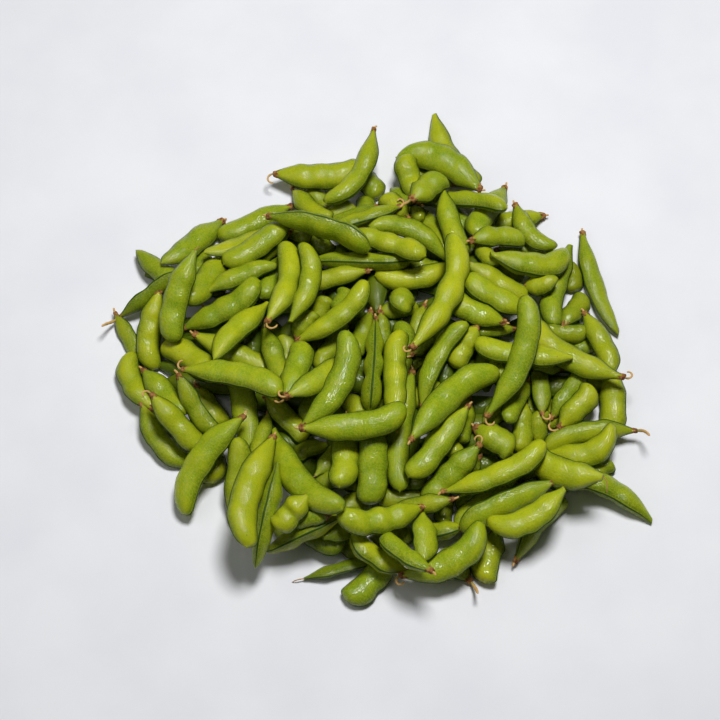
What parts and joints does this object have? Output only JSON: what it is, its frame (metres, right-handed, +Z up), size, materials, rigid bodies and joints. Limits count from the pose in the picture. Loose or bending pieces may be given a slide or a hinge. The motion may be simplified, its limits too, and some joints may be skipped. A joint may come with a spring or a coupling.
{
  "type": "edamame pod bundle",
  "caption": "Loose, low round heap of fresh green soya bean pods lying flat, as picked, with short stalk ends and dried flower remains.",
  "frame": {"origin": "middle of the heap's underside, on the surface that it lies on", "axes": "+Z up through the heap's height, which is its shortest extent; +X to the right and +Y away from someone who looks at the heap from its front"},
  "size_m": [0.2728, 0.2842, 0.0453],
  "materials": {
    "pod_skin": "satin, moist",
    "shaded_pod_skin": "satin, moist",
    "dried_stalk": "matt, fibrous"
  },
  "bodies": {
    "root": {"top_pod_01": "pod_skin", "top_pod_02": "pod_skin", "top_pod_03": "pod_skin", "top_pod_04": "pod_skin", "top_pod_05": "pod_skin", "top_pod_06": "pod_skin", "top_pod_07": "pod_skin", "top_pod_08": "pod_skin", "top_pod_09": "pod_skin", "top_pod_10": "pod_skin", "top_pod_11": "pod_skin", "top_pod_12": "pod_skin", "top_pod_13": "pod_skin", "top_pod_14": "pod_skin", "top_pod_15": "pod_skin", "top_pod_16": "pod_skin", "top_pod_17": "pod_skin", "top_pod_18": "pod_skin", "top_pod_19": "pod_skin", "top_pod_20": "pod_skin", "top_pod_21": "pod_skin", "top_pod_22": "pod_skin", "top_pod_23": "pod_skin", "top_pod_24": "pod_skin", "top_pod_25": "pod_skin", "top_pod_26": "pod_skin", "top_pod_27": "pod_skin", "top_pod_28": "pod_skin", "top_pod_29": "pod_skin", "top_pod_30": "pod_skin", "top_pod_31": "pod_skin", "top_pod_32": "pod_skin", "top_pod_33": "pod_skin", "top_pod_34": "pod_skin", "lower_pods_01": "shaded_pod_skin", "lower_pods_02": "shaded_pod_skin", "lower_pods_03": "shaded_pod_skin", "lower_pods_04": "shaded_pod_skin", "lower_pods_05": "shaded_pod_skin", "lower_pods_06": "shaded_pod_skin", "lower_pods_07": "shaded_pod_skin", "lower_pods_08": "shaded_pod_skin", "lower_pods_09": "shaded_pod_skin", "lower_pods_10": "shaded_pod_skin", "lower_pods_11": "shaded_pod_skin", "lower_pods_12": "shaded_pod_skin", "lower_pods_13": "shaded_pod_skin", "lower_pods_14": "shaded_pod_skin", "lower_pods_15": "shaded_pod_skin", "lower_pods_16": "shaded_pod_skin", "lower_pods_17": "shaded_pod_skin", "lower_pods_18": "shaded_pod_skin", "lower_pods_19": "shaded_pod_skin", "lower_pods_20": "shaded_pod_skin", "lower_pods_21": "shaded_pod_skin", "lower_pods_22": "shaded_pod_skin", "lower_pods_23": "shaded_pod_skin"}
  },
  "joints": []
}
